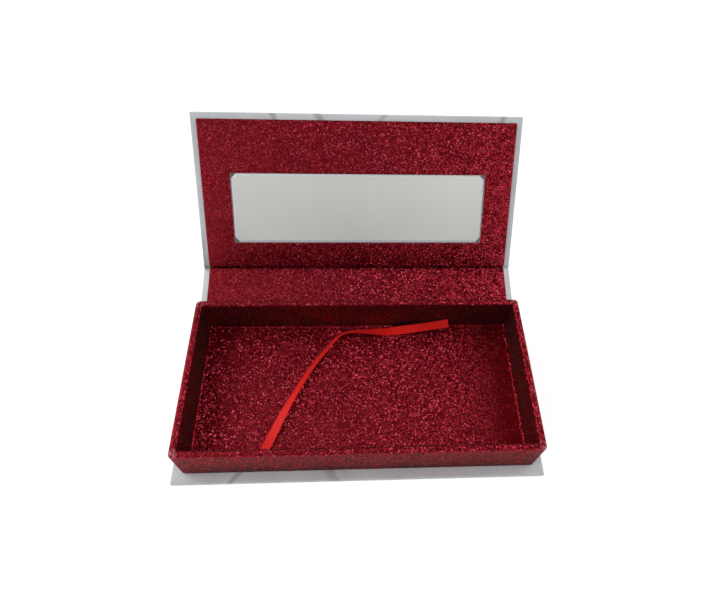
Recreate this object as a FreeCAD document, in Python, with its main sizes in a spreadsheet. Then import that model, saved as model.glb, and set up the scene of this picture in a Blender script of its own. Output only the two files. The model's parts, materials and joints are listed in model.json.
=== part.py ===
"""A book-style lash case: a glitter-papered tray on a marble-papered case that folds at two creases.

Millimetres. +X runs to the right, +Y to the rear, where the case folds, and +Z up. The origin lies on the
underside of the base, below the middle of the tray. The spine and the lid are drawn lying flat, each from
its own crease line, with +Y away from the crease and +Z towards the inside of the case, and are then
leaned back to the open pose.
"""
import FreeCAD, Part
import math
import os
import Sketcher
from FreeCAD import Placement, Rotation, Vector

# Driving sizes, in millimetres, and the two fold angles, in degrees up from the flat open case
SIZES = (
    ("tray_width", 110.0, "tray outside, left to right"),
    ("tray_depth", 52.4, "tray outside, front to rear"),
    ("tray_height", 16.4, "tray outside, underside to rim"),
    ("tray_corner", 1.4, "radius of the tray's upright corners"),
    ("wall_board", 1.6, "greyboard of the tray walls"),
    ("floor_board", 1.6, "greyboard of the tray floor"),
    ("glitter_paper", 0.25, "thickness of the glitter paper"),
    ("stay_tape", 0.1, "thickness of the tape that holds the tray corners"),
    ("stay_reach", 8.0, "reach of the tape from each corner"),
    ("tray_turn_in", 9.0, "width of glitter paper turned under the tray"),
    ("liner_clearance", 0.05, "gap round the floor liner"),
    ("case_board", 1.2, "greyboard of base, spine and lid"),
    ("marble_paper", 0.2, "thickness of the marble paper"),
    ("case_turn_in", 10.0, "width of marble paper turned over the board edges"),
    ("turn_in_clearance", 0.5, "least gap from the mirror's window to the turned-in paper"),
    ("case_margin", 3.0, "how far base and lid stand out past the tray"),
    ("crease_gap", 0.3, "from a crease line to the spine's board"),
    ("spine_clearance", 0.2, "spine to tray, and spine to lid, when closed"),
    ("rim_clearance", 0.15, "lid panel to tray rim when closed"),
    ("spine_open", 14.0, "lean of the spine as photographed"),
    ("lid_open", 40.5, "lean of the lid past the spine as photographed"),
    ("panel_border", 2.2, "marble border round the glitter panels"),
    ("panel_card", 0.5, "card inside the lid panel"),
    ("mirror_width", 91.0, "mirror, left to right"),
    ("mirror_height", 25.2, "mirror, along the lid"),
    ("mirror_thick", 0.8, "mirror plate"),
    ("mirror_clip", 1.8, "corner cut off the mirror"),
    ("mirror_bevel", 1.3, "width of the bevel round the mirror"),
    ("bevel_drop", 0.35, "depth of the bevel at the mirror's edge"),
    ("mirror_from_crease", 11.5, "lid crease line to the mirror"),
    ("mirror_clearance", 0.35, "gap round the mirror in its window"),
    ("tape_thick", 0.1, "tape behind the mirror"),
    ("tape_inset", 2.5, "mirror edge to tape edge"),
    ("magnet_length", 10.0, "closure magnets, left to right"),
    ("magnet_height", 3.0, "closure magnets, down from the top of the wall board"),
    ("magnet_spacing", 64.0, "between the middles of the two magnets"),
    ("plate_depth", 3.0, "steel plates in the lid, along the lid"),
    ("plate_edge", 1.0, "front edge of the panel card to the steel plates"),
    ("plate_clearance", 0.05, "gap round the magnets and the steel plates"),
    ("ribbon_width", 3.0, "satin ribbon"),
    ("ribbon_thick", 0.3, "satin ribbon"),
    ("ribbon_sunk", 1.2, "how far the ribbon's end goes down through its slit"),
    ("slit_clearance", 0.1, "gap round the ribbon in its slit"),
)

# Places worked out from the sizes
PLACES = (
    ("case_thick", "2 * Sizes.marble_paper + Sizes.case_board"),
    ("board_top", "Sizes.marble_paper + Sizes.case_board"),
    ("tray_half", "Sizes.tray_width / 2"),
    ("tray_rear", "Sizes.tray_depth / 2"),
    ("rim_top", "Places.case_thick + Sizes.tray_height"),
    ("wall_low", "Places.case_thick + Sizes.glitter_paper"),
    ("wall_high", "Places.rim_top - Sizes.glitter_paper"),
    ("floor_high", "Places.wall_low + Sizes.floor_board"),
    ("liner_high", "Places.floor_high + Sizes.glitter_paper"),
    ("skin_half", "Places.tray_half - Sizes.glitter_paper"),
    ("skin_rear", "Places.tray_rear - Sizes.glitter_paper"),
    ("skin_corner", "Sizes.tray_corner - Sizes.glitter_paper"),
    ("wall_half", "Places.skin_half - Sizes.stay_tape"),
    ("wall_rear", "Places.skin_rear - Sizes.stay_tape"),
    ("wall_corner", "Places.skin_corner - Sizes.stay_tape"),
    ("room_half", "Places.wall_half - Sizes.wall_board"),
    ("room_rear", "Places.wall_rear - Sizes.wall_board"),
    ("cavity_half", "Places.room_half - Sizes.glitter_paper"),
    ("cavity_rear", "Places.room_rear - Sizes.glitter_paper"),
    ("case_half", "Places.tray_half + Sizes.case_margin"),
    ("case_front", "Places.tray_rear + Sizes.case_margin"),
    ("board_half", "Places.case_half - Sizes.marble_paper"),
    ("turn_in_half", "Places.case_half - Sizes.case_turn_in"),
    ("spine_thick", "Places.case_thick + Sizes.glitter_paper"),
    ("set_back", "Places.spine_thick + Sizes.spine_clearance"),
    ("hinge_y", "Places.tray_rear + Places.set_back"),
    ("panel_thick", "Sizes.panel_card + Sizes.glitter_paper"),
    ("spine_span", "Places.rim_top + Sizes.rim_clearance + Places.panel_thick + Places.case_thick"),
    ("spine_end", "Places.spine_span - Sizes.crease_gap"),
    ("lid_span", "Places.hinge_y + Places.case_front"),
    ("lid_angle", "Sizes.spine_open + Sizes.lid_open"),
    ("lid_hinge_y", "Places.hinge_y + Places.spine_span * cos(Sizes.spine_open)"),
    ("lid_hinge_z", "Places.spine_span * sin(Sizes.spine_open)"),
    ("panel_half", "Places.case_half - Sizes.panel_border"),
    ("panel_end", "Places.lid_span - Sizes.panel_border"),
    ("card_half", "Places.panel_half - Sizes.glitter_paper"),
    ("card_start", "Places.set_back + Sizes.glitter_paper"),
    ("card_end", "Places.panel_end - Sizes.glitter_paper"),
    ("card_top", "Places.case_thick + Sizes.panel_card"),
    ("mirror_half", "Sizes.mirror_width / 2"),
    ("mirror_end", "Sizes.mirror_from_crease + Sizes.mirror_height"),
    ("window_half", "Places.mirror_half + Sizes.mirror_clearance"),
    ("window_start", "Sizes.mirror_from_crease - Sizes.mirror_clearance"),
    ("window_end", "Places.mirror_end + Sizes.mirror_clearance"),
    ("lid_turn_in_half", "max(Places.turn_in_half; Places.window_half + Sizes.turn_in_clearance)"),
    ("lid_turn_in_end",
     "max(Places.lid_span - Sizes.case_turn_in; Places.window_end + Sizes.turn_in_clearance)"),
    ("mirror_low", "Places.board_top + Sizes.tape_thick"),
    ("bevel_low", "Places.mirror_low + Sizes.mirror_thick - Sizes.bevel_drop"),
    ("magnet_near", "(Sizes.magnet_spacing - Sizes.magnet_length) / 2"),
    ("magnet_far", "(Sizes.magnet_spacing + Sizes.magnet_length) / 2"),
    ("magnet_low", "Places.wall_high - Sizes.magnet_height"),
    ("plate_end", "Places.card_end - Sizes.plate_edge"),
    ("plate_start", "Places.plate_end - Sizes.plate_depth"),
    ("rear_bend", "tan(Sizes.spine_open / 2) * Sizes.marble_paper"),
    ("lid_bend", "tan(Sizes.lid_open / 2) * Sizes.marble_paper"),
)

# The pull ribbon's route over the tray floor, from its slit to its free end: x, the wall that a point lies
# by, and how far it is from that wall's inner face
RIBBON_ROUTE = (
    (-31.0, "front", 1.8),
    (-26.6, "front", 12.5),
    (-19.2, "rear", 20.5),
    (-10.4, "rear", 8.6),
    (-1.0, "rear", 2.6),
    (15.5, "rear", 3.2),
    (31.5, "rear", 2.0),
)
ARC_SHARE = 0.45

doc = FreeCAD.newDocument("lash_case")
pieces = []


def make_sheet(name, rows, prefix):
    """Write one sheet of named values."""
    sheet = doc.addObject("Spreadsheet::Sheet", name)
    for row, (alias, text, *note) in enumerate(rows, 1):
        sheet.set(f"A{row}", alias)
        sheet.set(f"B{row}", prefix + str(text))
        sheet.setAlias(f"B{row}", alias)
        sheet.set(f"C{row}", " ".join(note))
    return sheet


sizes = make_sheet("Sizes", SIZES, "")
make_sheet("Places", PLACES, "=")
doc.recompute()


def value(text):
    """The number that an expression on the sheets gives now."""
    return float(sizes.evalExpression(text))


def keep(piece):
    """Count an object as a sub-part of the case."""
    pieces.append(piece)
    return piece


def at_base(piece):
    """Base and tray pieces are drawn where they stand."""
    return piece


def on_spine(piece):
    """Lean a piece of the spine back about the rear crease."""
    piece.Placement = Placement(Vector(), Rotation(Vector(1, 0, 0), 1))
    piece.setExpression("Placement.Base.y", "Places.hinge_y")
    piece.setExpression("Placement.Rotation.Angle", "Sizes.spine_open")
    return piece


def on_lid(piece):
    """Lean a piece of the lid back about the lid crease."""
    piece.Placement = Placement(Vector(), Rotation(Vector(1, 0, 0), 1))
    piece.setExpression("Placement.Base.y", "Places.lid_hinge_y")
    piece.setExpression("Placement.Base.z", "Places.lid_hinge_z")
    piece.setExpression("Placement.Rotation.Angle", "Places.lid_angle")
    return piece


def body(label, lean):
    """An empty body for one sub-part, leaned with the panel it belongs to."""
    return keep(lean(doc.addObject("PartDesign::Body", label)))


def sketch_at(owner, height):
    """A sketch on the body's XY plane, raised to a height."""
    sketch = owner.newObject("Sketcher::SketchObject", owner.Name + "_outline")
    plane = next(f for f in owner.Origin.OriginFeatures if f.Role == "XY_Plane")
    sketch.AttachmentSupport = [(plane, "")]
    sketch.MapMode = "FlatFace"
    sketch.setExpression("AttachmentOffset.Base.z", height)
    return sketch


def hold(sketch, kind, geometry, end, text):
    """Hold a point at a distance from the sketch's origin that the sheets give."""
    index = sketch.addConstraint(Sketcher.Constraint(kind, -1, 1, geometry, end, value(text)))
    sketch.setExpression(f"Constraints[{index}]", text)


def polygon(sketch, corners):
    """A closed loop of lines with every corner held by two expressions."""
    first = sketch.GeometryCount
    count = len(corners)
    points = [Vector(value(x), value(y), 0) for x, y in corners]
    for i in range(count):
        sketch.addGeometry(Part.LineSegment(points[i], points[(i + 1) % count]), False)
    for i in range(count):
        sketch.addConstraint(Sketcher.Constraint("Coincident", first + i, 2, first + (i + 1) % count, 1))
    for i, (x, y) in enumerate(corners):
        hold(sketch, "DistanceX", first + i, 1, x)
        hold(sketch, "DistanceY", first + i, 1, y)


def rectangle(sketch, left, right, low, high):
    polygon(sketch, ((left, low), (right, low), (right, high), (left, high)))


def centred(sketch, half, low, high):
    """A rectangle that is centred left to right."""
    rectangle(sketch, f"-({half})", half, low, high)


def pair(sketch, near, far, low, high):
    """Two rectangles, mirrored left and right."""
    rectangle(sketch, near, far, low, high)
    rectangle(sketch, f"-({far})", f"-({near})", low, high)


def u_loop(sketch, half_out, half_in, open_end, end_out, end_in):
    """A U of paper along three board edges, open towards the crease."""
    polygon(sketch, (
        (f"-({half_out})", open_end), (f"-({half_out})", end_out),
        (half_out, end_out), (half_out, open_end),
        (half_in, open_end), (half_in, end_in),
        (f"-({half_in})", end_in), (f"-({half_in})", open_end),
    ))


def clipped(sketch, half, low, high, clip):
    """A rectangle with its four corners cut off."""
    polygon(sketch, (
        (f"-({half}) + {clip}", low), (f"{half} - {clip}", low),
        (half, f"{low} + {clip}"), (half, f"{high} - {clip}"),
        (f"{half} - {clip}", high), (f"-({half}) + {clip}", high),
        (f"-({half})", f"{high} - {clip}"), (f"-({half})", f"{low} + {clip}"),
    ))


def rounded(sketch, half, rear, radius):
    """A rectangle about the origin with rounded corners."""
    x, y, r = value(half), value(rear), value(radius)
    first = sketch.GeometryCount
    middles = ((x - r, r - y), (x - r, y - r), (r - x, y - r), (r - x, r - y))
    turns = [math.radians(a) for a in (-90, 0, 90, 180)]
    arcs = [
        Part.ArcOfCircle(Part.Circle(Vector(u, v, 0), Vector(0, 0, 1), r), turn, turn + math.pi / 2)
        for (u, v), turn in zip(middles, turns)
    ]
    for arc in arcs:
        sketch.addGeometry(arc, False)
    for i in range(4):
        sketch.addGeometry(Part.LineSegment(arcs[i].EndPoint, arcs[(i + 1) % 4].StartPoint), False)
    right, top, left, bottom = (first + 4 + i for i in range(4))
    for i in range(4):
        sketch.addConstraint(Sketcher.Constraint("Tangent", first + i, 2, first + 4 + i, 1))
        sketch.addConstraint(Sketcher.Constraint("Tangent", first + 4 + i, 2, first + (i + 1) % 4, 1))
    for line in (right, left):
        sketch.addConstraint(Sketcher.Constraint("Vertical", line))
    for line in (top, bottom):
        sketch.addConstraint(Sketcher.Constraint("Horizontal", line))
    for i in range(1, 4):
        sketch.addConstraint(Sketcher.Constraint("Equal", first, first + i))
    index = sketch.addConstraint(Sketcher.Constraint("Radius", first, r))
    sketch.setExpression(f"Constraints[{index}]", radius)
    hold(sketch, "DistanceX", right, 1, half)
    hold(sketch, "DistanceX", left, 1, f"-({half})")
    hold(sketch, "DistanceY", top, 1, rear)
    hold(sketch, "DistanceY", bottom, 1, f"-({rear})")


def pad(owner, height, thickness):
    """Start a layer of a body: the caller draws its outline on the sketch that comes back."""
    sketch = sketch_at(owner, height)
    layer = owner.newObject("PartDesign::Pad", owner.Name + "_layer")
    layer.Profile = sketch
    layer.setExpression("Length", thickness)
    return sketch


def cut(owner, height, depth):
    """Start a pocket that goes down from a height, as pad does for a layer."""
    sketch = sketch_at(owner, height)
    pocket = owner.newObject("PartDesign::Pocket", owner.Name + "_cut")
    pocket.Profile = sketch
    pocket.setExpression("Length", depth)
    return sketch


def plate(label, lean, half, low, high, height, thickness):
    """A flat rectangular piece that is centred left to right."""
    piece = body(label, lean)
    centred(pad(piece, height, thickness), half, low, high)
    return piece


def box(label, low, high):
    """A plain block between two corners, each given by three expressions."""
    block = doc.addObject("Part::Box", label)
    for axis, side, a, b in zip("xyz", ("Length", "Width", "Height"), low, high):
        block.setExpression(side, f"({b}) - ({a})")
        block.setExpression(f"Placement.Base.{axis}", a)
    return block


# The case: three greyboard panels in marble paper

def panel_wrap(label, lean, start, end, turn_in_half, turn_in_end):
    """Marble paper over the outside of a board, turned in over three of its edges."""
    inward = "-" if value(end) > value(start) else "+"
    piece = body(label, lean)
    low, high = sorted((start, end), key=value)
    centred(pad(piece, "0", "Sizes.marble_paper"), "Places.case_half", low, high)
    u_loop(pad(piece, "Sizes.marble_paper", "Sizes.case_board"), "Places.case_half", "Places.board_half",
           start, end, f"{end} {inward} Sizes.marble_paper")
    u_loop(pad(piece, "Places.board_top", "Sizes.marble_paper"), "Places.case_half", turn_in_half,
           start, end, turn_in_end)


def make_base():
    plate("base_board", at_base, "Places.board_half", "Sizes.marble_paper - Places.case_front",
          "Places.tray_rear", "Sizes.marble_paper", "Sizes.case_board")
    panel_wrap("base_wrap", at_base, "Places.tray_rear", "-Places.case_front",
               "Places.turn_in_half", "Sizes.case_turn_in - Places.case_front")


def make_spine():
    ends = ("Sizes.crease_gap", "Places.spine_end")
    plate("spine_board", on_spine, "Places.board_half", *ends, "Sizes.marble_paper", "Sizes.case_board")
    plate("spine_liner", on_spine, "Places.panel_half", *ends, "Places.case_thick", "Sizes.glitter_paper")
    wrap = body("spine_wrap", on_spine)
    centred(pad(wrap, "0", "Sizes.marble_paper"), "Places.case_half", *ends)
    pair(pad(wrap, "Sizes.marble_paper", "Sizes.case_board"), "Places.board_half", "Places.case_half", *ends)
    turned_in = pad(wrap, "Places.board_top", "Sizes.marble_paper")
    pair(turned_in, "Places.turn_in_half", "Places.case_half", *ends)


def make_lid():
    plate("lid_board", on_lid, "Places.board_half", "Places.set_back",
          "Places.lid_span - Sizes.marble_paper", "Sizes.marble_paper", "Sizes.case_board")
    panel_wrap("lid_wrap", on_lid, "Places.set_back", "Places.lid_span",
               "Places.lid_turn_in_half", "Places.lid_turn_in_end")


def window(sketch):
    centred(sketch, "Places.window_half", "Places.window_start", "Places.window_end")


def make_lid_panel():
    """The glitter panel inside the lid: a card with a window and two slots, and its paper."""
    card = body("lid_panel_card", on_lid)
    outline = pad(card, "Places.case_thick", "Sizes.panel_card")
    centred(outline, "Places.card_half", "Places.card_start", "Places.card_end")
    window(outline)
    room = "Sizes.plate_clearance"
    pair(outline, f"Places.magnet_near - {room}", f"Places.magnet_far + {room}",
         f"Places.plate_start - {room}", f"Places.plate_end + {room}")
    liner = body("lid_liner", on_lid)
    edges = pad(liner, "Places.case_thick", "Sizes.panel_card")
    centred(edges, "Places.panel_half", "Places.set_back", "Places.panel_end")
    centred(edges, "Places.card_half", "Places.card_start", "Places.card_end")
    face = pad(liner, "Places.card_top", "Sizes.glitter_paper")
    centred(face, "Places.panel_half", "Places.set_back", "Places.panel_end")
    window(face)
    plates = body("lid_steel_plates", on_lid)
    pair(pad(plates, "Places.case_thick", "Sizes.panel_card"), "Places.magnet_near", "Places.magnet_far",
         "Places.plate_start", "Places.plate_end")


def make_mirror():
    """A thin bevelled mirror with clipped corners, taped to the lid board."""
    plate("mirror_tape", on_lid, "Places.mirror_half - Sizes.tape_inset",
          "Sizes.mirror_from_crease + Sizes.tape_inset", "Places.mirror_end - Sizes.tape_inset",
          "Places.board_top", "Sizes.tape_thick")
    mirror = body("mirror", on_lid)
    ends = ("Sizes.mirror_from_crease", "Places.mirror_end", "Sizes.mirror_clip")
    clipped(pad(mirror, "Places.mirror_low", "Sizes.mirror_thick - Sizes.bevel_drop"),
            "Places.mirror_half", *ends)
    foot = sketch_at(mirror, "Places.bevel_low")
    clipped(foot, "Places.mirror_half", *ends)
    face = sketch_at(mirror, "Places.bevel_low + Sizes.bevel_drop")
    clipped(face, "Places.mirror_half - Sizes.mirror_bevel", "Sizes.mirror_from_crease + Sizes.mirror_bevel",
            "Places.mirror_end - Sizes.mirror_bevel", "Sizes.mirror_clip")
    bevel = mirror.newObject("PartDesign::AdditiveLoft", "mirror_bevel")
    bevel.Profile = foot
    bevel.Sections = [face]
    bevel.Ruled = True


# The paper creases that the case folds on

def crease(label, half, low, high, first_leg, second_leg):
    """A strip of paper bent along a crease line, made of the leg on each side of it.

    Each leg is its leaning function and where it starts and ends, square to the crease line.
    """
    legs = []
    for number, (lean, start, end) in enumerate((first_leg, second_leg), 1):
        leg = doc.addObject("PartDesign::Body", f"{label}_leg_{number}")
        centred(pad(lean(leg), low, f"({high}) - ({low})"), half, start, end)
        legs.append(leg)
    strip = doc.addObject("Part::Fuse", label)
    strip.Base, strip.Tool = legs
    keep(strip)


def make_creases():
    paper = ("Places.case_half", "0", "Sizes.marble_paper")
    glitter = ("Places.panel_half", "Sizes.marble_paper", "Sizes.marble_paper + Sizes.glitter_paper")
    crease("rear_hinge_paper", *paper, (at_base, "Places.tray_rear", "Places.hinge_y"),
           (on_spine, "0", "Sizes.crease_gap"))
    crease("rear_hinge_liner", *glitter, (at_base, "Places.tray_rear", "Places.hinge_y - Places.rear_bend"),
           (on_spine, "Places.rear_bend", "Sizes.crease_gap"))
    crease("lid_hinge_paper", *paper, (on_spine, "Places.spine_end", "Places.spine_span"),
           (on_lid, "0", "Places.set_back"))
    crease("lid_hinge_liner", *glitter,
           (on_spine, "Places.spine_end", "Places.spine_span - Places.lid_bend"),
           (on_lid, "Places.lid_bend", "Places.set_back"))


# The tray: a floor and four walls of greyboard in glitter paper

def round_corners(owner, y):
    """Round the two upright edges that a wall has at the tray's corners."""
    doc.recompute()
    base = owner.Tip
    x = value("Places.wall_half")
    names = []
    for number, edge in enumerate(base.Shape.Edges, 1):
        middle = edge.CenterOfMass
        upright = abs(edge.BoundBox.ZLength - edge.Length) < 1e-6
        if upright and math.isclose(abs(middle.x), x) and math.isclose(middle.y, value(y)):
            names.append(f"Edge{number}")
    fillet = owner.newObject("PartDesign::Fillet", owner.Name + "_corners")
    fillet.Base = (base, names)
    fillet.setExpression("Radius", "Places.wall_corner")


def make_walls():
    height = "Places.wall_high - Places.wall_low"
    front = plate("tray_front_wall", at_base, "Places.wall_half", "-Places.wall_rear", "-Places.room_rear",
                  "Places.wall_low", height)
    round_corners(front, "-Places.wall_rear")
    notch = "Sizes.plate_clearance"
    notches = cut(front, "Places.wall_high", f"Sizes.magnet_height + {notch}")
    pair(notches, f"Places.magnet_near - {notch}", f"Places.magnet_far + {notch}",
         "-Places.wall_rear", "-Places.room_rear")
    rear = plate("tray_rear_wall", at_base, "Places.wall_half", "Places.room_rear", "Places.wall_rear",
                 "Places.wall_low", height)
    round_corners(rear, "Places.wall_rear")
    for label, near, far in (("tray_left_wall", "-Places.wall_half", "-Places.room_half"),
                             ("tray_right_wall", "Places.room_half", "Places.wall_half")):
        rectangle(pad(body(label, at_base), "Places.wall_low", height), near, far,
                  "-Places.room_rear", "Places.room_rear")


def make_magnets():
    """Two bar magnets let into the top edge of the front wall."""
    magnets = body("tray_magnets", at_base)
    pair(pad(magnets, "Places.magnet_low", "Sizes.magnet_height"), "Places.magnet_near", "Places.magnet_far",
         "-Places.wall_rear", "-Places.room_rear")


def make_stays():
    """A ring of tape round the walls, cut away between the corners."""
    stays = body("tray_corner_stays", at_base)
    ring = pad(stays, "Places.wall_low", "Places.wall_high - Places.wall_low")
    rounded(ring, "Places.skin_half", "Places.skin_rear", "Places.skin_corner")
    rounded(ring, "Places.wall_half", "Places.wall_rear", "Places.wall_corner")
    x, y = "Places.skin_half - Sizes.stay_reach", "Places.skin_rear - Sizes.stay_reach"
    side, end = "Places.tray_half", "Places.tray_rear"
    cross = cut(stays, "Places.rim_top", "Sizes.tray_height")
    polygon(cross, (
        (f"-({x})", f"-({end})"), (x, f"-({end})"), (x, f"-({y})"), (side, f"-({y})"),
        (side, y), (x, y), (x, end), (f"-({x})", end),
        (f"-({x})", y), (f"-({side})", y), (f"-({side})", f"-({y})"), (f"-({x})", f"-({y})"),
    ))


def make_tray_wrap():
    """Glitter paper under, outside, over the rim of and inside the tray."""
    wrap = body("tray_wrap", at_base)
    outside = ("Places.tray_half", "Places.tray_rear", "Sizes.tray_corner")
    cavity = ("Places.cavity_half", "-Places.cavity_rear", "Places.cavity_rear")
    under = pad(wrap, "Places.case_thick", "Sizes.glitter_paper")
    rounded(under, *outside)
    centred(under, "Places.tray_half - Sizes.tray_turn_in", "Sizes.tray_turn_in - Places.tray_rear",
            "Places.tray_rear - Sizes.tray_turn_in")
    outer = pad(wrap, "Places.wall_low", "Places.wall_high - Places.wall_low")
    rounded(outer, *outside)
    rounded(outer, "Places.skin_half", "Places.skin_rear", "Places.skin_corner")
    rim = pad(wrap, "Places.wall_high", "Sizes.glitter_paper")
    rounded(rim, *outside)
    centred(rim, *cavity)
    inner = pad(wrap, "Places.floor_high", "Places.wall_high - Places.floor_high")
    centred(inner, "Places.room_half", "-Places.room_rear", "Places.room_rear")
    centred(inner, *cavity)


def ribbon_points(height):
    """The points of the ribbon's route, at a height."""
    wall = value("Places.cavity_rear")
    return [Vector(x, gap - wall if side == "front" else wall - gap, height) for x, side, gap in RIBBON_ROUTE]


def at_slit(height):
    """A place at the ribbon's slit, turned along the ribbon."""
    first, second = ribbon_points(height)[:2]
    heading = math.degrees(math.atan2(second.y - first.y, second.x - first.x))
    return Placement(first, Rotation(Vector(0, 0, 1), heading))


def with_slit(label, block):
    """Cut the ribbon's slit down into a floor piece."""
    slit = doc.addObject("Part::Box", label + "_slit")
    slit.setExpression("Length", "Sizes.ribbon_thick + 2 * Sizes.slit_clearance")
    slit.setExpression("Width", "Sizes.ribbon_width + 2 * Sizes.slit_clearance")
    slit.setExpression("Height", "Sizes.ribbon_sunk + Sizes.slit_clearance")
    low = value("Places.liner_high - Sizes.ribbon_sunk - Sizes.slit_clearance")
    room = value("Sizes.slit_clearance")
    shift = Vector(-room, -value("Sizes.ribbon_width") / 2 - room, 0)
    slit.Placement = at_slit(low).multiply(Placement(shift, Rotation()))
    piece = doc.addObject("Part::Cut", label)
    piece.Base = block
    piece.Tool = slit
    keep(piece)


def make_floor():
    with_slit("tray_floor_board", box(
        "floor_block",
        ("-Places.room_half", "-Places.room_rear", "Places.wall_low"),
        ("Places.room_half", "Places.room_rear", "Places.floor_high"),
    ))
    gap = "Sizes.liner_clearance"
    with_slit("tray_floor_liner", box(
        "liner_block",
        (f"{gap} - Places.cavity_half", f"{gap} - Places.cavity_rear", "Places.floor_high"),
        (f"Places.cavity_half - {gap}", f"Places.cavity_rear - {gap}", "Places.liner_high"),
    ))


def ribbon_path(height):
    """The ribbon's middle line: straight runs joined by tangent arcs, and the arcs' radii."""
    points = ribbon_points(height)
    edges, radii = [], []
    start = points[0]
    for before, corner, after in zip(points, points[1:], points[2:]):
        back, on = (before - corner).normalize(), (after - corner).normalize()
        trim = ARC_SHARE * min((before - corner).Length, (after - corner).Length)
        half_turn = (math.pi - back.getAngle(on)) / 2
        radius = trim / math.tan(half_turn)
        enter, leave = corner + back * trim, corner + on * trim
        bulge = (back + on).normalize() * (radius / math.cos(half_turn) - radius)
        edges.append(Part.LineSegment(start, enter).toShape())
        edges.append(Part.Arc(enter, corner + bulge, leave).toShape())
        radii.append(radius)
        start = leave
    edges.append(Part.LineSegment(start, points[-1]).toShape())
    return Part.Wire(edges), radii


def make_ribbon():
    """A flat satin ribbon along the floor, with its end down in the slit."""
    width, thick = value("Sizes.ribbon_width"), value("Sizes.ribbon_thick")
    height, sunk = value("Places.liner_high"), value("Sizes.ribbon_sunk")
    path, radii = ribbon_path(height)
    section = Part.makePolygon([
        Vector(0, y, z) for y, z in ((-width / 2, 0), (width / 2, 0), (width / 2, thick), (-width / 2, thick),
                                     (-width / 2, 0))
    ])
    section.Placement = at_slit(height)
    strip = path.makePipeShell([section], True, False)
    tail = Part.makeBox(thick, width, sunk)
    tail.Placement = at_slit(height - sunk).multiply(Placement(Vector(0, -width / 2, 0), Rotation()))
    ribbon = doc.addObject("Part::Feature", "pull_ribbon")
    ribbon.Shape = strip.fuse(tail).removeSplitter()
    keep(ribbon)
    print("ribbon bend radii", [round(r, 1) for r in radii], "free length", round(path.Length, 1))
    print("ribbon strip volume", round(strip.Volume, 3), "section times length",
          round(width * thick * path.Length, 3))


def check_and_write():
    """Stop on any failed object, then write one STEP file per sub-part."""
    doc.recompute()
    failed = [o.Label for o in doc.Objects if {"Invalid", "Error"} & set(o.State)]
    failed += [p.Label for p in pieces if p.Shape.isNull() or not p.Shape.isValid() or not p.Shape.Solids]
    if failed:
        raise RuntimeError("failed: " + ", ".join(failed))
    os.makedirs("parts", exist_ok=True)
    for piece in pieces:
        piece.Shape.exportStep(os.path.join("parts", piece.Label + ".step"))
        print(f"{piece.Label}: {len(piece.Shape.Solids)} solid, {piece.Shape.Volume:.2f} mm3")


make_base()
make_spine()
make_lid()
make_lid_panel()
make_mirror()
make_creases()
make_walls()
make_magnets()
make_stays()
make_tray_wrap()
make_floor()
make_ribbon()
check_and_write()
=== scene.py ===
import json
import math

import bmesh
import bpy
from mathutils import Matrix, Vector, noise


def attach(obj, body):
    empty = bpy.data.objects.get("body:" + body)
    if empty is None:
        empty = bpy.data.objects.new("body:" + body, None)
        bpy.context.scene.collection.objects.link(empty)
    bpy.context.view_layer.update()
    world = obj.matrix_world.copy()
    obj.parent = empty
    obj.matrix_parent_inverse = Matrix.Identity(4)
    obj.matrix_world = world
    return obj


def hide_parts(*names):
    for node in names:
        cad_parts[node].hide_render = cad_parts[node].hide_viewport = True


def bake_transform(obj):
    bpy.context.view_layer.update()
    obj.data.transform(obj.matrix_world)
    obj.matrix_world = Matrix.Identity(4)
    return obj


# The looks of a book-style lash case: glitter and marble papers, a bevelled mirror and a satin ribbon.
# Metres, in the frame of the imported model. A panel's own axes are x across it, y away from its crease and
# z up from its outer face, and the base's are those of the frame.

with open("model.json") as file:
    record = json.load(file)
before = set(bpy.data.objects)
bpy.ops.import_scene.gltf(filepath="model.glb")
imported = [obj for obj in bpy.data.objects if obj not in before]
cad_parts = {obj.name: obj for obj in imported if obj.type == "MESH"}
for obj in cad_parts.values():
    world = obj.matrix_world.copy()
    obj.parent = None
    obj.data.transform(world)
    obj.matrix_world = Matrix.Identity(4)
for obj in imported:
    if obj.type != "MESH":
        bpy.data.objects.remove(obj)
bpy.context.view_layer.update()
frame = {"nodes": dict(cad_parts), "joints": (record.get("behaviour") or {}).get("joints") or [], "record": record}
MM = 0.001

# The camera, fitted to the photograph's outlines
PHOTO_WIDTH = 722
PHOTO_HEIGHT = 600
FOCAL_PIXELS = 551.5
MIDDLE_PIXEL = (387.8, 271.5)
CAMERA_PLACE = (-2.60 * MM, -74.07 * MM, 178.52 * MM)
CAMERA_AZIMUTH = math.radians(6.43)
CAMERA_ELEVATION = math.radians(54.94)
CAMERA_ROLL = math.radians(5.16)
CAMERA_NEAR = 10 * MM

# The marble paper: its round folds, its mitred corners, and how far from the middle it is turned in to
MARBLE_EDGE = 0.45 * MM
MITRE_WIDTH = 0.15 * MM
MITRE_DEPTH = 0.08 * MM
TURNED_IN_TO = 48 * MM

# The creases: how high their folded borders are in the middle, how far the borders' sides stay below the
# panels' faces, and the glitter paper in the grooves
REAR_VALLEY = 0.9 * MM
LID_VALLEY = 0.55 * MM
FOLD_DROP = 0.1 * MM
CREASE_LINER = 0.1 * MM

# The tray's glitter paper: its round rim and corners, how far it goes in under the tray, and the paper on the
# floor, which turns up against the walls
GLITTER_EDGE = 0.8 * MM
TRAY_CORNER = 1.4 * MM
TRAY_UNDER = 9 * MM
LINER_GAP = 0.05 * MM
LINER_LIP = 0.9 * MM
LINER_CORNER = 0.2 * MM

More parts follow.
